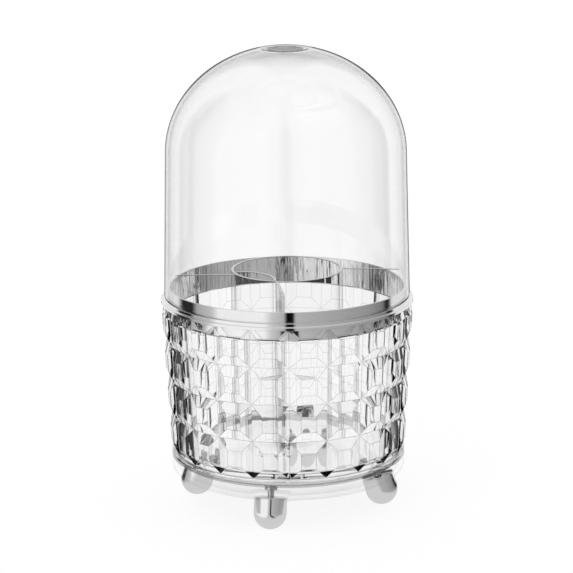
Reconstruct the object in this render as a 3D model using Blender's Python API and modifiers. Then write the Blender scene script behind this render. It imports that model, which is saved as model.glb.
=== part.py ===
# Makeup brush holder: a clear diamond-cut bucket that turns on a footed base, with a
# plated collar ring, a lift-out insert of tube and dividers, and a lift-off dome.
# Metres, +Z up. The origin is on the holder's axis at table level, and -Y is the front.

import math

import bmesh
import bpy
from mathutils import Euler, Matrix

# Clearances
SEAT_GAP = 0.0003            # between pieces that rest against each other
RUNNING_GAP = 0.0003         # round the pivot screw
LID_GAP = 0.0003             # between the collar and the dome that drops over it
CUT_OVERRUN = 0.0020         # how far a cutter runs past the faces that it opens

# Facets of round pieces
LARGE_ROUND_STEPS = 60
MEDIUM_ROUND_STEPS = 32
FOOT_ROUND_STEPS = 24
SMALL_ROUND_STEPS = 16
SMOOTH_DEGREES = 30
MERGE_DISTANCE = 0.00001

# Feet: bullet-shaped, splayed outwards, each with a small flat that rests on the table
FOOT_NAMES = ("foot_front", "foot_right", "foot_back", "foot_left")
FOOT_RADIUS = 0.00775
FOOT_FLAT_RADIUS = 0.0030
FOOT_INSET = 0.0105          # from the base's edge in to the centre of a foot's round end
FOOT_SPLAY_DEGREES = 15
FOOT_TURN_DEGREES = -11      # the front foot sits this far to the left of the front
FOOT_SOCKET_DEPTH = 0.0015   # how deep a foot's top sits in the base
FOOT_BORE_FLOOR = 0.0020     # metal left between the screw bore and the round end's centre
FOOT_EDGE = 0.0004           # chamfer round the foot's top
ROUND_END_STEPS = 6

# Foot screws
SCREW_RADIUS = 0.0015
SCREW_HOLE_GAP = 0.0003
SCREW_HEAD_RADIUS = 0.0030
SCREW_HEAD_HEIGHT = 0.0018
SCREW_TIP_GAP = 0.0006
SCREW_SLOT_WIDTH = 0.0007
SCREW_SLOT_DEPTH = 0.0009

# Base dish: a shallow bowl with a pad over each foot and a boss for the pivot
DISH_TABLE_GAP = 0.0069      # from the table to the lowest point of the dish
DISH_CURVE_RADIUS = 0.1620
DISH_SHOULDER_RADIUS = 0.0042
DISH_RIM_HEIGHT = 0.00356    # the upright wall above the shoulder
DISH_WALL = 0.0024
FOOT_PAD_RADIUS = 0.0090
FOOT_PAD_HEIGHT = 0.0020     # above the dish's inner face
PIVOT_BOSS_RADIUS = 0.0085
PIVOT_BORE_FLOOR = 0.0036
DISH_CURVE_STEPS = 5
SHOULDER_STEPS = 3

# Glide ring between the dish and the bucket, and the washers at the pivot
GLIDE_HEIGHT = 0.0014
GLIDE_WIDTH = 0.0036
GLIDE_LIP_HEIGHT = 0.0018
GLIDE_LIP_WIDTH = 0.0008
WASHER_THICKNESS = 0.0009
PIVOT_WASHER_RADIUS = 0.0066

# Pivot screw
PIVOT_RADIUS = 0.0020
PIVOT_HEAD_RADIUS = 0.0042
PIVOT_HEAD_HEIGHT = 0.0020
PIVOT_TIP_GAP = 0.0005
PIVOT_SLOT_WIDTH = 0.0010
PIVOT_SLOT_DEPTH = 0.0010

# Bucket: its radii are measured to the flats of the diamond cuts
BUCKET_TOP_RADIUS = 0.0599
BUCKET_TAPER = 0.0039        # how much smaller its radius is at the foot
BUCKET_ROWS = 4
BUCKET_COLUMNS = 20
BUCKET_ROW_HEIGHT = 0.01805
BUCKET_TURN_DEGREES = 0.75   # a groove lies this far to the right of the front
BUCKET_RIM_HEIGHT = 0.0012
BUCKET_FLOOR = 0.0024
BUCKET_RECESS = 0.0008       # from the rim's underside up to the floor's underside
BUCKET_WALL = 0.0020         # behind the deepest groove
BUCKET_FOOT_WIDTH = 0.0034
FACET_RISE = 0.0020          # from a groove to the flat of a cut
FACET_BEVEL = 0.0051         # width of a cut's sloping sides
MOUTH_LAND = 0.0010          # wall left behind the collar's skirt
HUB_RADIUS = 0.0075
HUB_DROP = 0.0050            # below the floor's underside
HUB_FLOOR = 0.0030           # under the pivot screw's washer
COUNTERBORE_RADIUS = 0.0059
FLOOR_CORNER = 0.0020        # cove between the floor and the wall

# Hub cap over the pivot screw
CAP_RADIUS = 0.0066
CAP_THICKNESS = 0.0015
CAP_EDGE = 0.0005
CAP_PLUG_WALL = 0.0006
CAP_PLUG_DEPTH = 0.0021

# Collar ring: stepped and plated, its skirt inside the bucket's mouth
COLLAR_WALL = 0.0010
COLLAR_HEIGHT = 0.0050       # above the ledge that carries the dome
SEAT_TIER_HEIGHT = 0.0016
SEAT_MARGIN = 0.0002         # ledge left outside the dome
LIP_OVERHANG = 0.0001        # past the flats of the diamond cuts
LIP_HEIGHT = 0.00145
SKIRT_DEPTH = 0.0052
PLATE_EDGE = 0.0003

# Insert: a tube on the holder's axis, a curved partition inside it and three dividers
TUBE_RADIUS = 0.0266
TUBE_WALL = 0.0015
TUBE_STAND = 0.0072          # above the collar's top
DIVIDER_THICKNESS = 0.0015
DIVIDER_TOP_GAP = 0.0020     # to the collar's bore
DIVIDER_FOOT_GAP = 0.0005    # to the cove round the bucket's floor
DIVIDER_BEARINGS = {         # degrees from the front, at the tube and at the bucket's wall
    "divider_front": (-11.0, -1.7),
    "divider_left": (-63.5, -77.2),
    "divider_right": (90.0, 87.2),
}
PARTITION_RADIUS = 0.0165
PARTITION_OFFSET = 0.0312    # from the holder's axis to the centre of the partition's curve
PARTITION_BEARING_DEGREES = -45

# Dome: a tapered wall under a rounded crown that has a shallow dimple
DOME_WALL = 0.0015
DOME_STRAIGHT = 0.0680
DOME_DRAFT_DEGREES = 1.3
DOME_CROWN = 0.0504
DIMPLE_RADIUS = 0.0115
DIMPLE_DEPTH = 0.0012
CROWN_STEPS = 8
DIMPLE_STEPS = 2

# Levels and radii that follow from the sizes above
foot_centre_height = math.sqrt(FOOT_RADIUS ** 2 - FOOT_FLAT_RADIUS ** 2)
bucket_foot_radius = BUCKET_TOP_RADIUS - BUCKET_TAPER
dish_radius = bucket_foot_radius
foot_circle_radius = dish_radius - FOOT_INSET
dish_low = DISH_TABLE_GAP
shoulder_across = dish_radius - DISH_SHOULDER_RADIUS
shoulder_centre = dish_low + DISH_CURVE_RADIUS - math.sqrt(
    (DISH_CURVE_RADIUS - DISH_SHOULDER_RADIUS) ** 2 - shoulder_across ** 2
)
dish_top = shoulder_centre + DISH_RIM_HEIGHT
glide_low = dish_top + SEAT_GAP
glide_top = glide_low + GLIDE_HEIGHT
bucket_low = glide_top + SEAT_GAP
floor_low = bucket_low + BUCKET_RECESS
floor_top = floor_low + BUCKET_FLOOR
rows_low = bucket_low + BUCKET_RIM_HEIGHT
rows_top = rows_low + BUCKET_ROWS * BUCKET_ROW_HEIGHT
lip_low = rows_top + SEAT_GAP
lip_top = lip_low + LIP_HEIGHT
seat_top = lip_top + SEAT_TIER_HEIGHT
collar_top = seat_top + COLLAR_HEIGHT
skirt_low = lip_low - SKIRT_DEPTH
insert_low = floor_top + SEAT_GAP
insert_top = collar_top + TUBE_STAND
dome_low = seat_top + SEAT_GAP
shoulder_level = dome_low + DOME_STRAIGHT

half_column = math.pi / BUCKET_COLUMNS
groove_top_radius = BUCKET_TOP_RADIUS - FACET_RISE
groove_foot_radius = bucket_foot_radius - FACET_RISE
mouth_radius = groove_top_radius - MOUTH_LAND
collar_radius = mouth_radius - SEAT_GAP
collar_bore = collar_radius - COLLAR_WALL
dome_bore = collar_radius + LID_GAP
dome_radius = dome_bore + DOME_WALL
seat_radius = dome_radius + SEAT_MARGIN
lip_radius = BUCKET_TOP_RADIUS + LIP_OVERHANG
tube_bore = TUBE_RADIUS - TUBE_WALL

hub_low = floor_low - HUB_DROP
counterbore_level = hub_low + HUB_FLOOR
thrust_washer_low = hub_low - SEAT_GAP - WASHER_THICKNESS
boss_top = thrust_washer_low - SEAT_GAP
head_washer_low = counterbore_level + SEAT_GAP
pivot_head_low = head_washer_low + WASHER_THICKNESS + SEAT_GAP
pivot_hole_radius = PIVOT_RADIUS + RUNNING_GAP
pivot_bore_low = dish_low + PIVOT_BORE_FLOOR


def groove_radius(level):
    """Distance from the axis to the floor of the grooves at a height."""
    share = (level - rows_low) / (rows_top - rows_low)
    return groove_foot_radius + share * (groove_top_radius - groove_foot_radius)


def bucket_bore(level):
    return groove_radius(level) - BUCKET_WALL


cove_radius = bucket_bore(floor_top) - FLOOR_CORNER


def bowl_level(radius, curve_radius):
    """Height of a bowl's curved face, whose curve is centred above the dish, at a radius."""
    centre = dish_low + DISH_CURVE_RADIUS
    return centre - math.sqrt(curve_radius ** 2 - radius ** 2)


def arc(centre_radius, centre_level, radius, start_degrees, end_degrees, steps):
    """Points of an arc in a profile, as (radius, height) pairs."""
    points = []
    for step in range(steps + 1):
        angle = math.radians(start_degrees + (end_degrees - start_degrees) * step / steps)
        points.append((centre_radius + radius * math.cos(angle), centre_level + radius * math.sin(angle)))
    return points


def plan_point(radius, bearing_degrees):
    """A point in plan at a bearing measured from the front towards the right."""
    bearing = math.radians(bearing_degrees)
    return radius * math.sin(bearing), -radius * math.cos(bearing)


def new_collection(name):
    collection = bpy.data.collections.new(name)
    bpy.context.scene.collection.children.link(collection)
    return collection


def new_finish(name, colour, roughness, metallic=0.0, transmission=0.0):
    material = bpy.data.materials.new(name)
    material.use_nodes = True
    shader = material.node_tree.nodes["Principled BSDF"]
    shader.inputs["Base Color"].default_value = (*colour, 1.0)
    shader.inputs["Roughness"].default_value = roughness
    shader.inputs["Metallic"].default_value = metallic
    shader.inputs["Transmission Weight"].default_value = transmission
    return material


def new_object(name, mesh, collection):
    obj = bpy.data.objects.new(name, mesh)
    collection.objects.link(obj)
    return obj


def settle(obj):
    """Replaces an object's modifiers by their result, shaded smooth with its corners kept."""
    graph = bpy.context.evaluated_depsgraph_get()
    mesh = bpy.data.meshes.new_from_object(obj.evaluated_get(graph))
    obj.modifiers.clear()
    obj.data = mesh
    mesh.shade_smooth()
    mesh.set_sharp_from_angle(angle=math.radians(SMOOTH_DEGREES))


def flatten_ends(mesh):
    """Makes one face of each flat end, where turning leaves a fan of triangles."""
    cage = bmesh.new()
    cage.from_mesh(mesh)
    centres = []
    for vert in cage.verts:
        on_axis = math.hypot(vert.co.x, vert.co.y) < MERGE_DISTANCE
        neighbours = [edge.other_vert(vert).co.z for edge in vert.link_edges]
        if on_axis and max(neighbours) - min(neighbours) < MERGE_DISTANCE:
            if abs(neighbours[0] - vert.co.z) < MERGE_DISTANCE:
                centres.append(vert)
    bmesh.ops.dissolve_verts(cage, verts=centres)
    cage.to_mesh(mesh)
    cage.free()


def turned(name, profile, collection, steps, closed=True):
    """A turned solid from (radius, height) points that run down its outer side first."""
    mesh = bpy.data.meshes.new(name)
    edges = [(i, i + 1) for i in range(len(profile) - 1)]
    if closed:
        edges.append((len(profile) - 1, 0))
    mesh.from_pydata([(radius, 0, level) for radius, level in profile], edges, [])
    obj = new_object(name, mesh, collection)
    screw = obj.modifiers.new("turn", "SCREW")
    screw.steps = steps
    screw.render_steps = steps
    screw.use_merge_vertices = True
    screw.merge_threshold = MERGE_DISTANCE
    bpy.context.view_layer.update()
    settle(obj)
    flatten_ends(obj.data)
    return obj


def bar(name, low, high, collection):
    """A box between two corners."""
    mesh = bpy.data.meshes.new(name)
    cage = bmesh.new()
    bmesh.ops.create_cube(cage, size=1)
    for vert in cage.verts:
        vert.co = [low[i] if vert.co[i] < 0 else high[i] for i in range(3)]
    cage.to_mesh(mesh)
    cage.free()
    return new_object(name, mesh, collection)


def combine(obj, others, operation):
    """Joins solids to an object or cuts them from it, in one go."""
    group = bpy.data.collections.new(f"{obj.name}_{operation.lower()}")
    cutters.children.link(group)
    for other in others:
        group.objects.link(other)
        other.hide_render = True
        other.display_type = "WIRE"
    modifier = obj.modifiers.new(group.name, "BOOLEAN")
    modifier.operation = operation
    modifier.operand_type = "COLLECTION"
    modifier.collection = group
    modifier.solver = "EXACT"


def foot_place(index):
    """Takes a solid made on a foot's own axis to the foot's place and splay."""
    bearing = FOOT_TURN_DEGREES + index * 360 / len(FOOT_NAMES)
    across, along = plan_point(foot_circle_radius, bearing)
    tilt = Euler((-math.radians(FOOT_SPLAY_DEGREES), 0, math.radians(bearing)))
    return Matrix.Translation((across, along, foot_centre_height)) @ tilt.to_matrix().to_4x4()


def length_to_bowl(curve_radius):
    """Distance along a foot's axis from its round end's centre to a face of the dish."""
    splay = math.radians(FOOT_SPLAY_DEGREES)
    to_centre = dish_low + DISH_CURVE_RADIUS - foot_centre_height
    along = to_centre * math.cos(splay) + foot_circle_radius * math.sin(splay)
    distance_squared = to_centre ** 2 + foot_circle_radius ** 2
    return along - math.sqrt(curve_radius ** 2 - distance_squared + along ** 2)


for old in list(bpy.data.objects):
    bpy.data.objects.remove(old)

parts = new_collection("makeup_brush_holder")
cutters = new_collection("cutters")

clear_acrylic = new_finish("clear_acrylic", (0.96, 0.97, 0.97), 0.03, transmission=1.0)
chrome_plate = new_finish("chrome_plate", (0.78, 0.78, 0.78), 0.08, metallic=1.0)
zinc_steel = new_finish("zinc_steel", (0.60, 0.61, 0.62), 0.30, metallic=1.0)
smoke_plastic = new_finish("smoke_plastic", (0.16, 0.16, 0.17), 0.35)
white_nylon = new_finish("white_nylon", (0.82, 0.82, 0.80), 0.50)

# Distances along a foot's axis, from the centre of its round end
dish_outer_reach = length_to_bowl(DISH_CURVE_RADIUS)
dish_inner_reach = length_to_bowl(DISH_CURVE_RADIUS - DISH_WALL)
foot_reach = dish_outer_reach + FOOT_SOCKET_DEPTH - SEAT_GAP
pad_reach = dish_inner_reach + FOOT_PAD_HEIGHT
screw_head_low = pad_reach + SEAT_GAP
foot_hole_radius = SCREW_RADIUS + SCREW_HOLE_GAP


def make_feet():
    profile = [(0, foot_reach), (FOOT_RADIUS - FOOT_EDGE, foot_reach), (FOOT_RADIUS, foot_reach - FOOT_EDGE)]
    profile += arc(0, 0, FOOT_RADIUS, 0, -90, ROUND_END_STEPS)[:-1]
    profile.append((0, -FOOT_RADIUS))
    bore_profile = [
        (0, foot_reach + CUT_OVERRUN),
        (foot_hole_radius, foot_reach + CUT_OVERRUN),
        (foot_hole_radius, FOOT_BORE_FLOOR),
        (0, FOOT_BORE_FLOOR),
    ]
    reach = foot_circle_radius + 2 * FOOT_RADIUS
    table = bar("table_cutter", (-reach, -reach, -FOOT_RADIUS), (reach, reach, 0), cutters)
    for index, name in enumerate(FOOT_NAMES):
        foot = turned(name, profile, parts, FOOT_ROUND_STEPS, closed=False)
        bore = turned(name + "_bore", bore_profile, cutters, SMALL_ROUND_STEPS, closed=False)
        foot.matrix_world = foot_place(index)
        bore.matrix_world = foot_place(index)
        combine(foot, [bore, table], "DIFFERENCE")
        foot.data.materials.append(chrome_plate)


def make_foot_screws():
    """One slotted screw for each foot, all of one mesh."""
    head_top = screw_head_low + SCREW_HEAD_HEIGHT
    tip = FOOT_BORE_FLOOR + SCREW_TIP_GAP
    profile = [
        (0, head_top),
        (SCREW_HEAD_RADIUS, head_top),
        (SCREW_HEAD_RADIUS, screw_head_low),
        (SCREW_RADIUS, screw_head_low),
        (SCREW_RADIUS, tip),
        (0, tip),
    ]
    model = turned("foot_screw", profile, cutters, SMALL_ROUND_STEPS, closed=False)
    slot_reach = SCREW_HEAD_RADIUS + CUT_OVERRUN
    slot = bar(
        "foot_screw_slot",
        (-slot_reach, -SCREW_SLOT_WIDTH / 2, head_top - SCREW_SLOT_DEPTH),
        (slot_reach, SCREW_SLOT_WIDTH / 2, head_top + CUT_OVERRUN),
        cutters,
    )
    combine(model, [slot], "DIFFERENCE")
    bpy.context.view_layer.update()
    settle(model)
    mesh = model.data
    mesh.materials.append(zinc_steel)
    bpy.data.objects.remove(model)
    bpy.data.objects.remove(slot)
    for index, foot_name in enumerate(FOOT_NAMES):
        screw = new_object(foot_name + "_screw", mesh, parts)
        screw.matrix_world = foot_place(index)


def bowl_face(curve_radius, edge_radius):
    """Points of a bowl's face, from just inside its edge to the axis."""
    points = []
    for step in range(DISH_CURVE_STEPS):
        radius = edge_radius * (DISH_CURVE_STEPS - 1 - step) / DISH_CURVE_STEPS
        points.append((radius, bowl_level(radius, curve_radius)))
    return points


def shoulder(corner_radius):
    """Points of the arc that joins one of the dish's upright faces to its bowl."""
    to_curve_centre = DISH_CURVE_RADIUS - DISH_SHOULDER_RADIUS
    end_degrees = -90 + math.degrees(math.asin(shoulder_across / to_curve_centre))
    return arc(shoulder_across, shoulder_centre, corner_radius, 0, end_degrees, SHOULDER_STEPS)


def make_base_dish():
    inner_curve = DISH_CURVE_RADIUS - DISH_WALL
    inner_radius = dish_radius - DISH_WALL
    outer = shoulder(DISH_SHOULDER_RADIUS)
    inner = shoulder(DISH_SHOULDER_RADIUS - DISH_WALL)
    inside = inner + bowl_face(inner_curve, inner[-1][0])
    outside = outer + bowl_face(DISH_CURVE_RADIUS, outer[-1][0])
    profile = inside[::-1] + [(inner_radius, dish_top), (dish_radius, dish_top)] + outside
    dish = turned("base_dish", profile, parts, LARGE_ROUND_STEPS, closed=False)

    middle_level = dish_low + DISH_WALL / 2
    boss_profile = [
        (0, boss_top),
        (PIVOT_BOSS_RADIUS, boss_top),
        (PIVOT_BOSS_RADIUS, middle_level),
        (0, middle_level),
    ]
    raised = [turned("pivot_boss", boss_profile, cutters, MEDIUM_ROUND_STEPS, closed=False)]
    bore_profile = [
        (0, boss_top + CUT_OVERRUN),
        (pivot_hole_radius, boss_top + CUT_OVERRUN),
        (pivot_hole_radius, pivot_bore_low),
        (0, pivot_bore_low),
    ]
    holes = [turned("pivot_bore", bore_profile, cutters, SMALL_ROUND_STEPS, closed=False)]

    pad_low = (dish_outer_reach + dish_inner_reach) / 2
    pad_profile = [(0, pad_reach), (FOOT_PAD_RADIUS, pad_reach), (FOOT_PAD_RADIUS, pad_low), (0, pad_low)]
    socket_radius = FOOT_RADIUS + SEAT_GAP
    socket_top = dish_outer_reach + FOOT_SOCKET_DEPTH
    socket_profile = [
        (0, pad_reach + CUT_OVERRUN),
        (foot_hole_radius, pad_reach + CUT_OVERRUN),
        (foot_hole_radius, socket_top),
        (socket_radius, socket_top),
        (socket_radius, dish_outer_reach - CUT_OVERRUN),
        (0, dish_outer_reach - CUT_OVERRUN),
    ]
    for index, name in enumerate(FOOT_NAMES):
        pad = turned(name + "_pad", pad_profile, cutters, MEDIUM_ROUND_STEPS, closed=False)
        socket = turned(name + "_socket", socket_profile, cutters, FOOT_ROUND_STEPS, closed=False)
        pad.matrix_world = foot_place(index)
        socket.matrix_world = foot_place(index)
        raised.append(pad)
        holes.append(socket)
    combine(dish, raised, "UNION")
    combine(dish, holes, "DIFFERENCE")
    dish.data.materials.append(clear_acrylic)


def make_glide_ring():
    lip_outer = dish_radius - DISH_WALL - SEAT_GAP
    lip_inner = lip_outer - GLIDE_LIP_WIDTH
    inner = min(dish_radius - GLIDE_WIDTH, lip_inner)
    profile = [
        (dish_radius, glide_top),
        (dish_radius, glide_low),
        (lip_outer, glide_low),
        (lip_outer, glide_low - GLIDE_LIP_HEIGHT),
        (lip_inner, glide_low - GLIDE_LIP_HEIGHT),
        (inner, glide_top),
    ]
    ring = turned("glide_ring", profile, parts, LARGE_ROUND_STEPS)
    ring.data.materials.append(smoke_plastic)


def make_washer(name, low, outer_radius):
    top = low + WASHER_THICKNESS
    profile = [(outer_radius, top), (outer_radius, low), (pivot_hole_radius, low), (pivot_hole_radius, top)]
    washer = turned(name, profile, parts, SMALL_ROUND_STEPS)
    washer.data.materials.append(white_nylon)


def make_pivot_screw():
    head_top = pivot_head_low + PIVOT_HEAD_HEIGHT
    tip = pivot_bore_low + PIVOT_TIP_GAP
    profile = [
        (0, head_top),
        (PIVOT_HEAD_RADIUS, head_top),
        (PIVOT_HEAD_RADIUS, pivot_head_low),
        (PIVOT_RADIUS, pivot_head_low),
        (PIVOT_RADIUS, tip),
        (0, tip),
    ]
    screw = turned("pivot_screw", profile, parts, SMALL_ROUND_STEPS, closed=False)
    reach = PIVOT_HEAD_RADIUS + CUT_OVERRUN
    slot = bar(
        "pivot_slot",
        (-reach, -PIVOT_SLOT_WIDTH / 2, head_top - PIVOT_SLOT_DEPTH),
        (reach, PIVOT_SLOT_WIDTH / 2, head_top + CUT_OVERRUN),
        cutters,
    )
    combine(screw, [slot], "DIFFERENCE")
    screw.data.materials.append(zinc_steel)


def make_diamond_cuts():
    """The bucket's cut outside: each cell of a tapered prism is inset and raised to a flat."""
    mesh = bpy.data.meshes.new("bucket")
    shell = bmesh.new()
    corner_share = 1 / math.cos(half_column)
    bmesh.ops.create_cone(
        shell,
        cap_ends=True,
        segments=BUCKET_COLUMNS,
        radius1=groove_foot_radius * corner_share,
        radius2=groove_top_radius * corner_share,
        depth=rows_top - rows_low,
    )
    bmesh.ops.translate(shell, verts=shell.verts, vec=(0, 0, (rows_low + rows_top) / 2))
    for row in range(1, BUCKET_ROWS):
        level = rows_low + row * BUCKET_ROW_HEIGHT
        bmesh.ops.bisect_plane(
            shell,
            geom=shell.verts[:] + shell.edges[:] + shell.faces[:],
            plane_co=(0, 0, level),
            plane_no=(0, 0, 1),
        )
    cells = [face for face in shell.faces if len(face.verts) == 4]
    bmesh.ops.inset_individual(shell, faces=cells, thickness=FACET_BEVEL, depth=FACET_RISE)
    shell.to_mesh(mesh)
    shell.free()
    bucket = new_object("bucket", mesh, parts)
    bucket.rotation_euler.z = math.radians(BUCKET_TURN_DEGREES)
    return bucket


def make_bucket():
    bucket = make_diamond_cuts()

    # Rim, floor recess and hub below the cuts
    overlap_top = rows_low + CUT_OVERRUN
    foot_profile = [
        (0, overlap_top),
        (groove_radius(overlap_top) - BUCKET_WALL / 2, overlap_top),
        (groove_radius(rows_low) - BUCKET_WALL / 2, rows_low),
        (bucket_foot_radius, rows_low),
        (bucket_foot_radius, bucket_low),
        (bucket_foot_radius - BUCKET_FOOT_WIDTH, bucket_low),
        (bucket_foot_radius - BUCKET_FOOT_WIDTH, floor_low),
        (HUB_RADIUS, floor_low),
        (HUB_RADIUS, hub_low),
        (0, hub_low),
    ]
    bucket_foot = turned("bucket_foot", foot_profile, cutters, LARGE_ROUND_STEPS, closed=False)
    combine(bucket, [bucket_foot], "UNION")

    # The inside: mouth, tapered wall, floor and the hole for the pivot screw
    mouth_low = skirt_low - SEAT_GAP
    mouth_top = rows_top + CUT_OVERRUN
    cove = arc(cove_radius, floor_top + FLOOR_CORNER, FLOOR_CORNER, 0, -90, SHOULDER_STEPS)
    inside_profile = [(0, mouth_top), (mouth_radius, mouth_top), (mouth_radius, mouth_low)]
    inside_profile += [(bucket_bore(mouth_low), mouth_low)] + cove
    inside_profile += [
        (COUNTERBORE_RADIUS, floor_top),
        (COUNTERBORE_RADIUS, counterbore_level),
        (pivot_hole_radius, counterbore_level),
        (pivot_hole_radius, hub_low - CUT_OVERRUN),
        (0, hub_low - CUT_OVERRUN),
    ]
    inside = turned("bucket_inside", inside_profile, cutters, LARGE_ROUND_STEPS, closed=False)
    combine(bucket, [inside], "DIFFERENCE")
    bucket.data.materials.append(clear_acrylic)
    return bucket


def make_hub_cap():
    low = floor_top + SEAT_GAP
    top = low + CAP_THICKNESS
    plug_radius = COUNTERBORE_RADIUS - SEAT_GAP
    plug_bore = plug_radius - CAP_PLUG_WALL
    profile = [
        (0, top),
        (CAP_RADIUS - CAP_EDGE, top),
        (CAP_RADIUS, top - CAP_EDGE),
        (CAP_RADIUS, low),
        (plug_radius, low),
        (plug_radius, low - CAP_PLUG_DEPTH),
        (plug_bore, low - CAP_PLUG_DEPTH),
        (plug_bore, low),
        (0, low),
    ]
    cap = turned("hub_cap", profile, parts, MEDIUM_ROUND_STEPS, closed=False)
    cap.data.materials.append(clear_acrylic)
    return cap


def make_collar_ring():
    profile = [
        (collar_radius - PLATE_EDGE, collar_top),
        (collar_radius, collar_top - PLATE_EDGE),
        (collar_radius, seat_top),
        (seat_radius - PLATE_EDGE, seat_top),
        (seat_radius, seat_top - PLATE_EDGE),
        (seat_radius, lip_top),
        (lip_radius - PLATE_EDGE, lip_top),
        (lip_radius, lip_top - PLATE_EDGE),
        (lip_radius, lip_low),
        (collar_radius, lip_low),
        (collar_radius, skirt_low),
        (collar_bore, skirt_low),
        (collar_bore, collar_top - PLATE_EDGE),
        (collar_bore + PLATE_EDGE, collar_top),
    ]
    ring = turned("collar_ring", profile, parts, LARGE_ROUND_STEPS)
    ring.data.materials.append(chrome_plate)
    return ring


def make_centre_tube():
    profile = [(TUBE_RADIUS, insert_top), (TUBE_RADIUS, insert_low), (tube_bore, insert_low), (tube_bore, insert_top)]
    tube = turned("centre_tube", profile, parts, LARGE_ROUND_STEPS)
    tube.data.materials.append(clear_acrylic)
    return tube


def make_curved_partition():
    """The stretch inside the tube of an upright wall bent to an arc."""
    outer = PARTITION_RADIUS + DIVIDER_THICKNESS / 2
    inner = PARTITION_RADIUS - DIVIDER_THICKNESS / 2
    profile = [(outer, insert_top), (outer, insert_low), (inner, insert_low), (inner, insert_top)]
    partition = turned("curved_partition", profile, parts, LARGE_ROUND_STEPS)
    across, along = plan_point(PARTITION_OFFSET, PARTITION_BEARING_DEGREES)
    partition.location = (across, along, 0)
    limit = tube_bore - SEAT_GAP
    high = insert_top + CUT_OVERRUN
    low = insert_low - CUT_OVERRUN
    limit_profile = [(0, high), (limit, high), (limit, low), (0, low)]
    tube_inside = turned("tube_inside", limit_profile, cutters, LARGE_ROUND_STEPS, closed=False)
    combine(partition, [tube_inside], "INTERSECT")
    partition.data.materials.append(clear_acrylic)
    return partition


def make_divider(name, tube_bearing, wall_bearing):
    """A straight upright panel from the tube to the bucket's wall, narrower at its foot."""
    top_reach = collar_bore - DIVIDER_TOP_GAP
    foot_reach_in_plan = cove_radius - DIVIDER_FOOT_GAP
    start = plan_point(TUBE_RADIUS - CUT_OVERRUN, tube_bearing)
    end = plan_point(top_reach, wall_bearing)
    length = math.dist(start, end)
    mesh = bpy.data.meshes.new(name)
    panel = bmesh.new()
    bmesh.ops.create_cube(panel, size=1)
    for vert in panel.verts:
        outer = vert.co.x > 0
        upper = vert.co.z > 0
        reach = length if upper else length - (top_reach - foot_reach_in_plan)
        vert.co.x = reach if outer else 0
        vert.co.y *= DIVIDER_THICKNESS
        vert.co.z = insert_top if upper else insert_low
    panel.to_mesh(mesh)
    panel.free()
    divider = new_object(name, mesh, parts)
    divider.location = (*start, 0)
    divider.rotation_euler.z = math.atan2(end[1] - start[1], end[0] - start[0])
    divider.data.materials.append(clear_acrylic)
    return divider


def make_insert():
    pieces = [make_centre_tube(), make_curved_partition()]
    seat_radius_of_tube = TUBE_RADIUS + SEAT_GAP
    high = insert_top + CUT_OVERRUN
    low = insert_low - CUT_OVERRUN
    seat_profile = [(0, high), (seat_radius_of_tube, high), (seat_radius_of_tube, low), (0, low)]
    tube_seat = turned("tube_seat", seat_profile, cutters, LARGE_ROUND_STEPS, closed=False)
    for name, (tube_bearing, wall_bearing) in DIVIDER_BEARINGS.items():
        divider = make_divider(name, tube_bearing, wall_bearing)
        combine(divider, [tube_seat], "DIFFERENCE")
        pieces.append(divider)
    return pieces


def crown_points(base_radius, height):
    """Points of the crown from the dimple's centre out to the top of the straight wall."""
    def crown_level(radius):
        return shoulder_level + height * math.sqrt(max(0, 1 - (radius / base_radius) ** 2))

    points = []
    rim_level = crown_level(DIMPLE_RADIUS)
    for step in range(DIMPLE_STEPS):
        share = step / DIMPLE_STEPS
        dip = DIMPLE_DEPTH * (1 + math.cos(math.pi * share)) / 2
        points.append((DIMPLE_RADIUS * share, rim_level - dip))
    start = math.acos(DIMPLE_RADIUS / base_radius)
    for step in range(CROWN_STEPS + 1):
        angle = start * (1 - step / CROWN_STEPS)
        radius = base_radius * math.cos(angle)
        points.append((radius, shoulder_level + height * math.sin(angle)))
    return points


def make_dome():
    taper = DOME_STRAIGHT * math.tan(math.radians(DOME_DRAFT_DEGREES))
    outside = crown_points(dome_radius - taper, DOME_CROWN) + [(dome_radius, dome_low)]
    inside = crown_points(dome_bore - taper, DOME_CROWN - DOME_WALL) + [(dome_bore, dome_low)]
    dome = turned("dome_cover", outside + inside[::-1], parts, LARGE_ROUND_STEPS, closed=False)
    dome.data.materials.append(clear_acrylic)
    return dome


def carry(name, pieces):
    """Parents pieces that move together to an empty on the holder's axis."""
    axis = new_object(name, None, parts)
    for piece in pieces:
        piece.parent = axis
    return axis


make_base_dish()
make_feet()
make_foot_screws()
make_glide_ring()
make_washer("thrust_washer", thrust_washer_low, PIVOT_WASHER_RADIUS)
make_washer("screw_washer", head_washer_low, COUNTERBORE_RADIUS - SEAT_GAP - CAP_PLUG_WALL)
make_pivot_screw()
turntable = carry("bucket_pivot", [make_bucket(), make_hub_cap(), make_collar_ring()])
insert = carry("insert_slide", make_insert())
dome = carry("dome_slide", [make_dome()])
insert.parent = turntable
dome.parent = turntable
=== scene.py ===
import math
import bpy
from mathutils import Matrix, Vector


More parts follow.
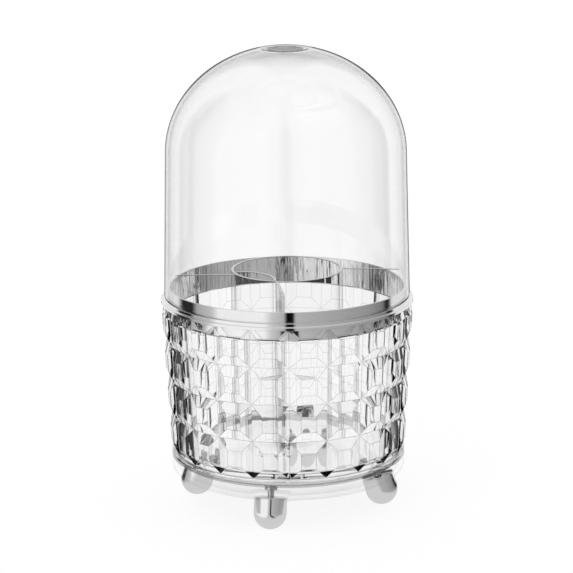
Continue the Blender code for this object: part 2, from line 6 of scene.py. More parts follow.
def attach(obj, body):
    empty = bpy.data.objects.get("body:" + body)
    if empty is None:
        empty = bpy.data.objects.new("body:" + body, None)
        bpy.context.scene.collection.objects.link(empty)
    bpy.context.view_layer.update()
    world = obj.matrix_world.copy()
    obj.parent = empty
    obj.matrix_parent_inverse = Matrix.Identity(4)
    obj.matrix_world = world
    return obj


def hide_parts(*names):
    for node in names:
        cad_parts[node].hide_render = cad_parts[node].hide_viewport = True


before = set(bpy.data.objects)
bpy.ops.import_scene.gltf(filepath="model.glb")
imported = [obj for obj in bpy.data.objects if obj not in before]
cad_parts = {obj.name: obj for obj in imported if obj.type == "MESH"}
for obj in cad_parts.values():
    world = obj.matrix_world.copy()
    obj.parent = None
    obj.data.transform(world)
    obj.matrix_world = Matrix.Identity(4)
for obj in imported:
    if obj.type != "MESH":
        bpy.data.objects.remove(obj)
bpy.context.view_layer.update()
mm = 0.001  # sizes in the dictionaries are in millimetres

print("stage 1: camera, light and floor")

view = {
    "place": (0.0035, -1.2512, 0.4148),  # metres
    "downDegrees": 14.15,
    "rollDegrees": -0.446,
    "lens": 170.02,
    "sensorWidth": 36,
    "shift": (-0.0139, 0.0212),
}

cameraData = bpy.data.cameras.new("photoView")
camera = bpy.data.objects.new("photoView", cameraData)
bpy.context.scene.collection.objects.link(camera)
cameraData.lens = view["lens"]
cameraData.sensor_width = view["sensorWidth"]
cameraData.shift_x, cameraData.shift_y = view["shift"]
pitch = Matrix.Rotation(math.radians(90 - view["downDegrees"]), 4, "X")
roll = Matrix.Rotation(math.radians(view["rollDegrees"]), 4, "Z")
camera.matrix_world = Matrix.Translation(view["place"]) @ pitch @ roll
bpy.context.scene.camera = camera
bpy.context.scene.view_settings.view_transform = "Standard"


def linear(hexColour):  # sRGB hex to linear
    values = [int(hexColour[i:i + 2], 16) / 255 for i in (1, 3, 5)]
    return tuple(v / 12.92 if v <= 0.04045 else ((v + 0.055) / 1.055) ** 2.4 for v in values) + (1.0,)


def addNode(tree, kind, settings=None, links=None):  # one node with its settings and what feeds it
    node = tree.nodes.new(kind)
    for key, value in (settings or {}).items():
        if isinstance(key, str) and hasattr(node, key):
            setattr(node, key, value)
        else:
            node.inputs[key].default_value = value
    for key, source in (links or {}).items():
        tree.links.new(source, node.inputs[key])
    return node


def mapRange(tree, value, source, target=(0.0, 1.0)):  # stretches one range of a value to another
    settings = {"From Min": source[0], "From Max": source[1], "To Min": target[0], "To Max": target[1]}
    return addNode(tree, "ShaderNodeMapRange", settings, {"Value": value}).outputs["Result"]


def setRamp(node, stops):  # stops are places along the ramp with sRGB hex colours
    ramp = node.color_ramp
    ramp.elements[0].position, ramp.elements[0].color = stops[0][0], linear(stops[0][1])
    ramp.elements[1].position, ramp.elements[1].color = stops[-1][0], linear(stops[-1][1])
    for position, colour in stops[1:-1]:
        ramp.elements.new(position).color = linear(colour)


def lightPaths(tree):
    # 1 for rays that a surface has mirrored, and 1 for those that come straight or through plastic
    rays = addNode(tree, "ShaderNodeLightPath")
    reflected = addNode(tree, "ShaderNodeMath", {"operation": "MINIMUM", 1: 1.0},
                        {0: rays.outputs["Glossy Depth"]})
    seen = addNode(tree, "ShaderNodeMath", {"operation": "ADD"},
                   {0: rays.outputs["Is Camera Ray"], 1: rays.outputs["Is Transmission Ray"]})
    straight = addNode(tree, "ShaderNodeMath", {"operation": "SUBTRACT", "use_clamp": True},
                       {0: seen.outputs[0], 1: reflected.outputs[0]})
    return reflected.outputs[0], straight.outputs[0]


# Studio round the holder: what metal and polished faces mirror, by bearing from the front.
# White panels with dark gaps between them; everything else is a plain white tent.
studio = {
    "tent": "#F7F7F7",
    "strength": 0.95,
    "seen": (1.06, 1.06, 1.06, 1.0),  # the backdrop, white at that strength
    "backWall": "#F8F8F8", "backWallRise": (0.02, 0.12), "backWallBehind": (0.8, 0.9),
    "roof": "#ECECEC", "roofRise": (0.55, 0.85),
    "panels": [
        (-180, "#484848"), (-169, "#5C5C5C"), (-163, "#F8F8F8"), (-126, "#F2F2F2"),
        (-118, "#2C2C2C"), (-101, "#2C2C2C"), (-95, "#B0B0B0"), (-76, "#CCCCCC"),
        (-68, "#FFFFFF"), (-22, "#FFFFFF"), (-14, "#D2D2D2"), (-3, "#B8B8B8"),
        (-0.5, "#0A0A0A"), (5.5, "#0A0A0A"), (8, "#BEBEBE"), (40, "#B0B0B0"), (84, "#9C9C9C"),
        (103, "#808080"), (107, "#2C2C2C"), (113, "#2C2C2C"), (118, "#F0F0F0"), (163, "#F8F8F8"),
        (169, "#4A4A4A"), (180, "#484848"),
    ],
}


def panelColours(tree, place):  # the panels' colour in the direction of a place, with the place's coordinates
    parts = addNode(tree, "ShaderNodeSeparateXYZ", links={"Vector": place})
    flipped = addNode(tree, "ShaderNodeMath", {"operation": "MULTIPLY", 1: -1.0}, {0: parts.outputs["Y"]})
    bearing = addNode(tree, "ShaderNodeMath", {"operation": "ARCTAN2"},
                      {0: parts.outputs["X"], 1: flipped.outputs[0]})
    share = mapRange(tree, bearing.outputs[0], (-math.pi, math.pi))
    panels = addNode(tree, "ShaderNodeValToRGB", links={"Fac": share})
    setRamp(panels, [((angle + 180) / 360, colour) for angle, colour in studio["panels"]])
    return parts, panels


world = bpy.data.worlds.new("whiteTent")
bpy.context.scene.world = world
world.use_nodes = True
tree = world.node_tree
background = tree.nodes["Background"]
background.inputs["Strength"].default_value = studio["strength"]
direction = addNode(tree, "ShaderNodeTexCoord")
parts, panels = panelColours(tree, direction.outputs["Generated"])
# the dark panel behind the holder, which draws its outline, is a low one: above it the wall is white
high = mapRange(tree, parts.outputs["Z"], studio["backWallRise"])
behind = mapRange(tree, parts.outputs["Y"], studio["backWallBehind"])
backWall = addNode(tree, "ShaderNodeMath", {"operation": "MULTIPLY"}, {0: high, 1: behind})
walls = addNode(tree, "ShaderNodeMix", {"data_type": "RGBA", 7: linear(studio["backWall"])},
                {0: backWall.outputs[0], 6: panels.outputs["Color"]})
overhead = mapRange(tree, parts.outputs["Z"], studio["roofRise"])
roof = addNode(tree, "ShaderNodeMix", {"data_type": "RGBA", 7: linear(studio["roof"])},
               {0: overhead, 6: walls.outputs[2]})
reflected, straight = lightPaths(tree)
mirrored = addNode(tree, "ShaderNodeMix", {"data_type": "RGBA", 6: linear(studio["tent"])},
                   {0: reflected, 7: roof.outputs[2]})
seen = addNode(tree, "ShaderNodeMix", {"data_type": "RGBA", 7: studio["seen"]},
               {0: straight, 6: mirrored.outputs[2]})
tree.links.new(seen.outputs[2], background.inputs["Color"])

keyLamp = {"size": (0.5, 0.7), "watts": 1.4, "place": (-0.45, -0.7, 1.0), "aim": (0, 0, 0.1)}  # metres

keyLight = bpy.data.lights.new("softKey", "AREA")
keyLight.shape = "RECTANGLE"
keyLight.size, keyLight.size_y = keyLamp["size"]
keyLight.energy = keyLamp["watts"]
keyObject = bpy.data.objects.new("softKey", keyLight)
keyObject.location = keyLamp["place"]
keyObject.visible_glossy = False
keyObject.visible_transmission = False
towards = Vector(keyLamp["aim"]) - keyObject.location
keyObject.rotation_euler = towards.to_track_quat("-Z", "Y").to_euler()
bpy.context.scene.collection.objects.link(keyObject)

# Table round the holder; for mirrored rays it glows with a painted reflection: light grey close by, and further
# out the studio's panels painted on it as light and dark
tableTop = {
    "radius": 0.34, "steps": 96,  # metres
    "colour": "#6E6E6E", "roughness": 0.9, "specular": 0.1, "glow": 0.86,
    "paintedNearGrey": "#D6D6D6", "fade": (0.06, 0.085),  # metres from the axis
}

bpy.ops.object.select_all(action="DESELECT")
bpy.ops.mesh.primitive_circle_add(vertices=tableTop["steps"], radius=tableTop["radius"], fill_type="NGON",
                                  location=(0, 0, 0))
floor = bpy.context.active_object
floor.name = "tableTop"

# Matt white laminate table, kept white where it is seen straight or through the plastic
table = bpy.data.materials.new("matt white laminate")
table.use_nodes = True
tree = table.node_tree
shader = tree.nodes["Principled BSDF"]
shader.inputs["Base Color"].default_value = linear(tableTop["colour"])
shader.inputs["Roughness"].default_value = tableTop["roughness"]
shader.inputs["Specular IOR Level"].default_value = tableTop["specular"]
reflected, straight = lightPaths(tree)
glow = addNode(tree, "ShaderNodeMath", {"operation": "MULTIPLY", 1: tableTop["glow"]}, {0: straight})
tree.links.new(glow.outputs[0], shader.inputs["Emission Strength"])
shader.inputs["Emission Color"].default_value = (1, 1, 1, 1)
# painted reflection: mirrored rays see the table glow light grey near the holder, and the panels' light and
# dark further out
spot = addNode(tree, "ShaderNodeTexCoord")
parts, panels = panelColours(tree, spot.outputs["Object"])
away = addNode(tree, "ShaderNodeVectorMath", {"operation": "LENGTH"}, {0: spot.outputs["Object"]})
far = mapRange(tree, away.outputs["Value"], tableTop["fade"])
mirrored = addNode(tree, "ShaderNodeMix", {"data_type": "RGBA", 6: linear(tableTop["paintedNearGrey"])},
                   {0: far, 7: panels.outputs["Color"]})
paintedReflection = addNode(tree, "ShaderNodeEmission", links={"Color": mirrored.outputs[2]})
either = addNode(tree, "ShaderNodeMixShader", links={0: reflected, 1: shader.outputs[0], 2: paintedReflection.outputs[0]})
tree.links.new(either.outputs[0], tree.nodes["Material Output"].inputs["Surface"])
floor.data.materials.append(table)

print("stage 2: materials")


def newMaterial(name):
    material = bpy.data.materials.new(name)
    material.use_nodes = True
    tree = material.node_tree
    return material, tree, tree.nodes["Principled BSDF"], addNode(tree, "ShaderNodeTexCoord")


def noise(tree, place, grain):  # grain is the noise's scale and detail
    settings = {"Scale": grain[0], "Detail": grain[1]}
    return addNode(tree, "ShaderNodeTexNoise", settings, {"Vector": place.outputs["Object"]}).outputs["Fac"]


def facingOf(tree):  # 0 where the eye meets a face squarely, 1 where it runs along it
    return addNode(tree, "ShaderNodeLayerWeight", {"Blend": 0.5}).outputs["Facing"]


acrylicIndex = 1.49
polish = {  # haze of handling, and flow lines from the mould about 20 mm apart and a few microns deep
    "haze": (60.0, 3.0), "hazeRange": (0.4, 0.75), "roughness": (0.0, 0.03),
    "flow": (50.0, 1.0), "flowDepth": 0.0004,
}


def clearAcrylic(name, shadedEdgeStops, waviness, mirrors=1.0, ior=acrylicIndex):
    # PMMA, injection moulded and polished: clear as glass, with painted shade where the eye runs along the
    # wall, where the see-through colour darkens into an outline
    material, tree, shader, place = newMaterial(name)
    shader.inputs["Transmission Weight"].default_value = 1.0
    shader.inputs["Specular Tint"].default_value = (mirrors, mirrors, mirrors, 1.0)
    shader.inputs["IOR"].default_value = ior
    # painted shade: the tint darkens towards grazing
    tint = addNode(tree, "ShaderNodeValToRGB", links={"Fac": facingOf(tree)})
    setRamp(tint, shadedEdgeStops)
    tree.links.new(tint.outputs["Color"], shader.inputs["Base Color"])
    haze = noise(tree, place, polish["haze"])
    rough = mapRange(tree, haze, polish["hazeRange"], polish["roughness"])
    tree.links.new(rough, shader.inputs["Roughness"])
    flow = noise(tree, place, polish["flow"])
    bump = addNode(tree, "ShaderNodeBump", {"Strength": waviness, "Distance": polish["flowDepth"]},
                   {"Height": flow})
    tree.links.new(bump.outputs["Normal"], shader.inputs["Normal"])
    return material


sheet = {"haze": (45.0, 2.0), "hazeRange": (0.35, 0.65), "roughness": 0.06}


def thinAcrylic(name, colours, head, grazing, power):
    # Thin clear plastic: hardly seen face on, closing up where the eye runs along it into the given tones,
    # which paint the shade and light of its edges; it bends no light
    material, tree, shader, place = newMaterial(name)
    tone = addNode(tree, "ShaderNodeValToRGB", links={"Fac": noise(tree, place, sheet["haze"])})
    setRamp(tone, list(zip(sheet["hazeRange"], colours)))
    tree.links.new(tone.outputs["Color"], shader.inputs["Base Color"])
    shader.inputs["Roughness"].default_value = sheet["roughness"]
    shader.inputs["IOR"].default_value = acrylicIndex
    steep = addNode(tree, "ShaderNodeMath", {"operation": "POWER", 1: power}, {0: facingOf(tree)})
    solid = addNode(tree, "ShaderNodeMath", {"operation": "MULTIPLY_ADD", 1: grazing - head, 2: head},
                    {0: steep.outputs[0]})
    tree.links.new(solid.outputs[0], shader.inputs["Alpha"])
    return material


plating = {  # the ripples stand upright, a few millimetres apart, left by the mould under the plating
    "peel": (260.0, 2.0), "peelRange": (0.35, 0.7), "roughest": 1.8, "peelDepth": 0.00005,
    "ripple": {"Scale": 330.0, "Detail": 1.5}, "rippleSqueeze": (1.0, 1.0, 0.12), "rippleDepth": 0.0004,
}


def platedMetal(name, colour, roughness, grain, waves=0.0):
    # Bright chrome over nickel: mirrors the room, with the faint orange peel of barrel polishing
    material, tree, shader, place = newMaterial(name)
    shader.inputs["Metallic"].default_value = 1.0
    shader.inputs["Base Color"].default_value = linear(colour)
    peel = noise(tree, place, plating["peel"])
    rough = mapRange(tree, peel, plating["peelRange"], (roughness, roughness * plating["roughest"]))
    tree.links.new(rough, shader.inputs["Roughness"])
    bump = addNode(tree, "ShaderNodeBump", {"Strength": grain, "Distance": plating["peelDepth"]},
                   {"Height": peel})
    if waves:
        squeezed = addNode(tree, "ShaderNodeMapping", links={"Vector": place.outputs["Object"]})
        squeezed.inputs["Scale"].default_value = plating["rippleSqueeze"]
        ripple = addNode(tree, "ShaderNodeTexNoise", plating["ripple"], {"Vector": squeezed.outputs[0]})
        bump = addNode(tree, "ShaderNodeBump", {"Strength": waves, "Distance": plating["rippleDepth"]},
                       {"Height": ripple.outputs["Fac"], "Normal": bump.outputs["Normal"]})
    tree.links.new(bump.outputs["Normal"], shader.inputs["Normal"])
    return material


moulding = {"grain": (700.0, 4.0), "toneRange": (0.3, 0.7), "strength": 0.25, "depth": 0.00004}


def mouldedPlastic(name, colours, roughness):
    # Opaque moulded plastic: soft sheen, fine spark-eroded grain, slight mottling
    material, tree, shader, place = newMaterial(name)
    grain = noise(tree, place, moulding["grain"])
    tone = addNode(tree, "ShaderNodeValToRGB", links={"Fac": grain})
    setRamp(tone, list(zip(moulding["toneRange"], colours)))
    tree.links.new(tone.outputs["Color"], shader.inputs["Base Color"])
    shader.inputs["Roughness"].default_value = roughness
    bump = addNode(tree, "ShaderNodeBump", {"Strength": moulding["strength"], "Distance": moulding["depth"]},
                   {"Height": grain})
    tree.links.new(bump.outputs["Normal"], shader.inputs["Normal"])
    return material


cutIndex = 1.37  # below acrylic's own, which draws a dark arc across the bucket
cutMirrors = 0.5
cutWaves = 0.03
shellWaves = 0.05
# painted shade: the dome darkens to near black at its limb, drawing its outline
domeAcrylic = clearAcrylic("polished acrylic, dome", [
    (0.0, "#FFFFFF"), (0.6, "#FDFDFD"), (0.8, "#F0F0F0"), (0.9, "#B8B8B8"), (0.96, "#606060"), (1.0, "#101010"),
], shellWaves)
# painted shade: the dimple's outside darkens sharply towards grazing into a dark lens; its wall is no thicker
# than the rest
dimpleAcrylic = clearAcrylic("polished acrylic, painted dark lens at the gate", [
    (0.0, "#F4F4F4"), (0.6, "#D0D0D0"), (0.74, "#343434"), (1.0, "#0C0C0C"),
], shellWaves)
# painted shade: the bucket's cut faces turn grey towards grazing
cutAcrylic = clearAcrylic("polished acrylic, diamond cut", [
    (0.0, "#FFFFFF"), (0.6, "#FDFDFD"), (0.85, "#F2F2F2"), (1.0, "#969696"),
], cutWaves, cutMirrors, cutIndex)
# painted shade: the cuts' narrow ridges are tinted grey, darker towards grazing, drawing dark lines between the
# cuts
shadedRidgeAcrylic = clearAcrylic("polished acrylic, cut ridge with painted shade", [
    (0.0, "#DCDCDC"), (1.0, "#8A8A8A"),
], cutWaves, cutMirrors, cutIndex)
# for thin pieces: two tones, how solid they look face on and edge on, and how late that rises
dishAcrylic = thinAcrylic("polished acrylic, base dish", ("#E6E6E6", "#F0F0F0"), 0.02, 0.7, 12.0)
# painted shade: the insert's clear sheets, and the hub cap, close up into dark grey towards grazing, drawing
# their dark outlines
sheetAcrylic = thinAcrylic("polished acrylic, insert", ("#3A3A3A", "#4C4C4C"), 0.015, 0.95, 7.0)
# painted shade: the sheets' rounded edges are near black and nearly solid, a dark edge line
shadedSheetEdge = thinAcrylic("acrylic edge, painted shade", ("#1E1E1E", "#343434"), 0.85, 0.95, 2.0)
# painted highlight: the sheets' flat tops are near white and nearly solid, a bright line along the top
highlightSheetTop = thinAcrylic("acrylic, top of a sheet, painted highlight", ("#EEEEEE", "#F8F8F8"), 0.9, 0.9, 2.0)
# grey see-through plastic for the glide ring, drawing the darker band at the seam under the bucket
greyRingPlastic = thinAcrylic("grey see-through polycarbonate", ("#88888A", "#969698"), 0.25, 0.5, 3.0)
# for plated pieces: colour, roughness, strength of the peel and of the ripples
chrome = platedMetal("bright chrome plate", "#F2F2F2", 0.035, 0.1)
wavyChrome = platedMetal("bright chrome plate, inside of the ring", "#F2F2F2", 0.05, 0.1, 1.1)
zinc = platedMetal("zinc plated steel", "#C9CBCD", 0.22, 0.3)
nylon = mouldedPlastic("natural nylon", ("#DEDDD8", "#E8E7E2"), 0.5)

print("stage 3: turned pieces")

around = {"finest": 192, "fine": 160, "middle": 128, "small": 96, "hole": 48}  # corners of a circle
overrun = 2.0  # how far a cutter runs past the faces that it opens
seatGap = 0.1  # between the insert's pieces
rimTilt = {"edge": 0.2, "top": 0.95}  # how far up a face looks, on a sheet's rounded edge, which takes painted shade, and on its flat top, which takes a painted highlight


def deselectAll():
    bpy.ops.object.select_all(action="DESELECT")


def arcPoints(radius, height, bend, start, end, steps):
    angles = [math.radians(start + (end - start) * i / steps) for i in range(steps + 1)]
    return [(radius + bend * math.cos(a), height + bend * math.sin(a)) for a in angles]


def turnPiece(name, outline, segments=around["fine"], closed=True):
    # a circle, extruded ring by ring along the outline
    deselectAll()
    radius, height = outline[0]
    bpy.ops.mesh.primitive_circle_add(vertices=segments, radius=radius * mm, fill_type="NOTHING",
                                      location=(0, 0, height * mm))
    piece = bpy.context.active_object
    piece.name = name
    bpy.ops.object.mode_set(mode="EDIT")
    bpy.ops.mesh.select_all(action="SELECT")
    for nextRadius, nextHeight in outline[1:]:
        bpy.ops.mesh.extrude_edges_move(TRANSFORM_OT_translate={"value": (0, 0, (nextHeight - height) * mm)})
        ratio = nextRadius / radius
        bpy.ops.transform.resize(value=(ratio, ratio, 1), center_override=(0, 0, nextHeight * mm))
        radius, height = nextRadius, nextHeight
    bpy.ops.mesh.select_all(action="DESELECT")
    bpy.ops.mesh.select_non_manifold()
    if closed:
        bpy.ops.mesh.bridge_edge_loops()
    else:
        bpy.ops.mesh.select_all(action="SELECT")
        bpy.ops.mesh.fill_holes(sides=0)
    bpy.ops.mesh.select_all(action="SELECT")
    bpy.ops.mesh.normals_make_consistent(inside=False)
    bpy.ops.object.mode_set(mode="OBJECT")
    bpy.ops.object.transform_apply(location=True, rotation=True, scale=True)
    return piece


def applyModifiers(piece):
    deselectAll()
    piece.select_set(True)
    bpy.context.view_layer.objects.active = piece
    for modifier in list(piece.modifiers):
        bpy.ops.object.modifier_apply(modifier=modifier.name)


def roundEdges(piece, width, segments=3, angle=30):
    bevel = piece.modifiers.new("roundEdges", "BEVEL")
    bevel.width = width * mm
    bevel.segments = segments
    bevel.limit_method = "ANGLE"
    bevel.angle_limit = math.radians(angle)
    bevel.harden_normals = False
    applyModifiers(piece)


def cutOrJoin(piece, tools, operation):  # boolean with each tool in turn, then the tools go
    for tool in tools:
        boolean = piece.modifiers.new(operation.lower(), "BOOLEAN")
        boolean.operation = operation
        boolean.solver = "EXACT"
        boolean.object = tool
    applyModifiers(piece)
    for tool in tools:
        bpy.data.objects.remove(tool)


def placePiece(piece, matrix):  # moves a piece and leaves its object at the origin
    deselectAll()
    piece.matrix_world = matrix
    piece.select_set(True)
    bpy.context.view_layer.objects.active = piece
    bpy.ops.object.transform_apply(location=True, rotation=True, scale=True)


def finishPiece(piece, body, material, nodes, angle=30, rims=()):
    deselectAll()
    piece.select_set(True)
    bpy.context.view_layer.objects.active = piece
    bpy.ops.object.shade_smooth_by_angle(angle=math.radians(angle))
    # keeps flat faces flat beside small rounded ones
    weighted = piece.modifiers.new("weightedNormals", "WEIGHTED_NORMAL")
    weighted.keep_sharp = True
    applyModifiers(piece)
    piece.data.materials.clear()
    piece.data.materials.append(material)
    for rim in rims:
        piece.data.materials.append(rim)
    if rims:
        for face in piece.data.polygons:
            upward = face.normal.z
            face.material_index = int(upward > rimTilt["edge"]) + int(upward > rimTilt["top"])
    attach(piece, body)
    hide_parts(*nodes)


dome = {
    "low": 102.454, "straight": 68.0, "draftDegrees": 1.3,
    "outer": 58.4, "inner": 56.9, "wall": 1.5, "crown": 50.4,
    "dimpleRadius": 11.5, "dimpleDepth": 1.2, "rimRounding": 0.4, "rimSteps": 4, "crownSteps": 40,
    "dimpleShares": (0.04, 0.15, 0.3, 0.45, 0.6, 0.75, 0.88),  # of its radius, out from the axis
    "darkShare": 0.8, "upward": 0.5,  # which faces are the dimple's outside, given the painted dark lens
}


def crownOutline(base, rise):  # from near the axis out to the top of the straight wall
    shoulder = dome["low"] + dome["straight"]
    rim = rise * math.sqrt(1 - (dome["dimpleRadius"] / base) ** 2)
    points = []
    for share in dome["dimpleShares"]:
        dip = dome["dimpleDepth"] * (1 + math.cos(math.pi * share)) / 2
        points.append((dome["dimpleRadius"] * share, shoulder + rim - dip))
    start = math.acos(dome["dimpleRadius"] / base)
    for i in range(dome["crownSteps"] + 1):
        angle = start * (1 - i / dome["crownSteps"])
        points.append((base * math.cos(angle), shoulder + rise * math.sin(angle)))
    return points


def makeDome():
    taper = dome["straight"] * math.tan(math.radians(dome["draftDegrees"]))
    rimBend, rimSteps = dome["rimRounding"], dome["rimSteps"]
    outside = crownOutline(dome["outer"] - taper, dome["crown"])
    rim = arcPoints(dome["outer"] - rimBend, dome["low"] + rimBend, rimBend, 0, -90, rimSteps)
    rim += arcPoints(dome["inner"] + rimBend, dome["low"] + rimBend, rimBend, -90, -180, rimSteps)
    inside = crownOutline(dome["inner"] - taper, dome["crown"] - dome["wall"])
    shell = turnPiece("clearDome", outside + rim + inside[::-1], around["finest"], closed=False)
    finishPiece(shell, "dome", domeAcrylic, ["dome_cover"])
    # the dimple's upward faces near the axis take the painted dark lens
    shell.data.materials.append(dimpleAcrylic)
    reach = dome["dimpleRadius"] * dome["darkShare"] * mm
    for face in shell.data.polygons:
        across = math.hypot(face.center.x, face.center.y)
        face.material_index = int(across < reach and face.normal.z > dome["upward"])


collar = {
    "top": 107.154, "seat": 102.154, "lipTop": 100.554, "lipLow": 99.104, "skirtLow": 93.904,
    "wallRadius": 56.6, "bore": 55.6, "seatRadius": 58.6, "lipRadius": 60.0, "edge": 0.28,
    "inward": -0.5,  # a face that looks at the axis
}


def makeCollar():
    c = collar
    outline = [
        (c["wallRadius"], c["top"]), (c["wallRadius"], c["seat"]), (c["seatRadius"], c["seat"]),
        (c["seatRadius"], c["lipTop"]), (c["lipRadius"], c["lipTop"]), (c["lipRadius"], c["lipLow"]),
        (c["wallRadius"], c["lipLow"]), (c["wallRadius"], c["skirtLow"]), (c["bore"], c["skirtLow"]),
        (c["bore"], c["top"]),
    ]
    ring = turnPiece("steppedCollar", outline, around["finest"])
    roundEdges(ring, c["edge"])
    finishPiece(ring, "turntable", chrome, ["collar_ring"])
    ring.data.materials.append(wavyChrome)
    for face in ring.data.polygons:
        outwards = Vector((face.center.x, face.center.y, 0)).normalized()
        face.material_index = int(face.normal.dot(outwards) < c["inward"])


insert = {
    "low": 28.904, "top": 114.354, "tubeRadius": 26.6, "tubeWall": 1.5, "edge": 0.25,
    "panel": 1.5, "reachTop": 53.6, "reachFoot": 49.62,
    "bearings": {  # degrees from the front, at the tube and at the bucket's wall
        "divider_front": (-11.0, -1.7), "divider_left": (-63.5, -77.2), "divider_right": (90.0, 87.2),
    },
    "curveRadius": 16.5, "curveOffset": 31.2, "curveBearing": -45.0,
}


def planPoint(radius, bearingDegrees):  # bearing from the front towards the right
    angle = math.radians(bearingDegrees)
    return radius * math.sin(angle), -radius * math.cos(angle)


def tubeOutline(outer, inner, low, top):
    return [(outer, top), (outer, low), (inner, low), (inner, top)]


def makeInsert():
    s = insert
    # rounded edges get painted shade, flat tops a painted highlight
    rims = (shadedSheetEdge, highlightSheetTop)
    bore = s["tubeRadius"] - s["tubeWall"]
    tube = turnPiece("clearTube", tubeOutline(s["tubeRadius"], bore, s["low"], s["top"]))
    roundEdges(tube, s["edge"])
    finishPiece(tube, "insert", sheetAcrylic, ["centre_tube"], rims=rims)

    half = s["panel"] / 2
    outline = tubeOutline(s["curveRadius"] + half, s["curveRadius"] - half, s["low"], s["top"])
    curve = turnPiece("curvedWall", outline, around["middle"])
    across, along = planPoint(s["curveOffset"], s["curveBearing"])
    placePiece(curve, Matrix.Translation((across * mm, along * mm, 0)))
    ends = s["low"] - overrun, s["top"] + overrun
    room = turnPiece("room", [(bore - seatGap, end) for end in ends], closed=False)
    cutOrJoin(curve, [room], "INTERSECT")
    roundEdges(curve, s["edge"])
    finishPiece(curve, "insert", sheetAcrylic, ["curved_partition"], rims=rims)

    for name, (tubeBearing, wallBearing) in s["bearings"].items():
        start = Vector(planPoint(s["tubeRadius"] - overrun, tubeBearing))
        end = Vector(planPoint(s["reachTop"], wallBearing))
        length = (end - start).length
        height = s["top"] - s["low"]
        deselectAll()
        bpy.ops.mesh.primitive_cube_add(size=1, location=(0, 0, 0))
        panel = bpy.context.active_object
        panel.name = name.replace("divider_", "") + "Panel"
        panel.scale = (length * mm, s["panel"] * mm, height * mm)
        panel.location = (length / 2 * mm, 0, (s["low"] + height / 2) * mm)
        bpy.ops.object.transform_apply(location=True, rotation=True, scale=True)
        bpy.ops.object.mode_set(mode="EDIT")
        bpy.ops.mesh.select_all(action="DESELECT")
        bpy.ops.object.mode_set(mode="OBJECT")
        for vert in panel.data.vertices:  # the outer end leans in towards its foot, as the bucket does
            vert.select = vert.co.x > length / 2 * mm and vert.co.z < (s["low"] + height / 2) * mm
        bpy.ops.object.mode_set(mode="EDIT")
        bpy.ops.transform.translate(value=((s["reachFoot"] - s["reachTop"]) * mm, 0, 0))
        bpy.ops.object.mode_set(mode="OBJECT")
        turn = Matrix.Rotation(math.atan2(end.y - start.y, end.x - start.x), 4, "Z")
        placePiece(panel, Matrix.Translation((start.x * mm, start.y * mm, 0)) @ turn)
        trim = turnPiece("trim", [(s["tubeRadius"] + seatGap, level) for level in ends], closed=False)
        cutOrJoin(panel, [trim], "DIFFERENCE")
        roundEdges(panel, s["edge"])
        finishPiece(panel, "insert", sheetAcrylic, [name], rims=rims)


bucket = {
    "rowsLow": 26.604, "rowHeight": 18.05, "rows": 4, "columns": 20, "turnDegrees": 0.75,
    "grooveTop": 57.9, "grooveFoot": 54.0, "inset": 5.1, "rise": 2.0, "edge": 0.22,
    "low": 25.404, "floorLow": 26.204, "floorTop": 28.604, "wall": 2.0, "footRadius": 56.0, "footWidth": 3.4,
    "hubRadius": 7.5, "hubLow": 21.204, "counterbore": 5.9, "counterboreLow": 24.204, "pivotHole": 2.3,
    "mouth": 56.9, "mouthLow": 93.604, "cove": 2.0, "coveSteps": 6, "edgeSteps": 2, "sharpDegrees": 12,
    "ridgeArea": 7.0, "ridgeRadius": 53.0, "ridgeRise": 0.5,  # which faces are the cuts' narrow ridges, which take the painted shade
}


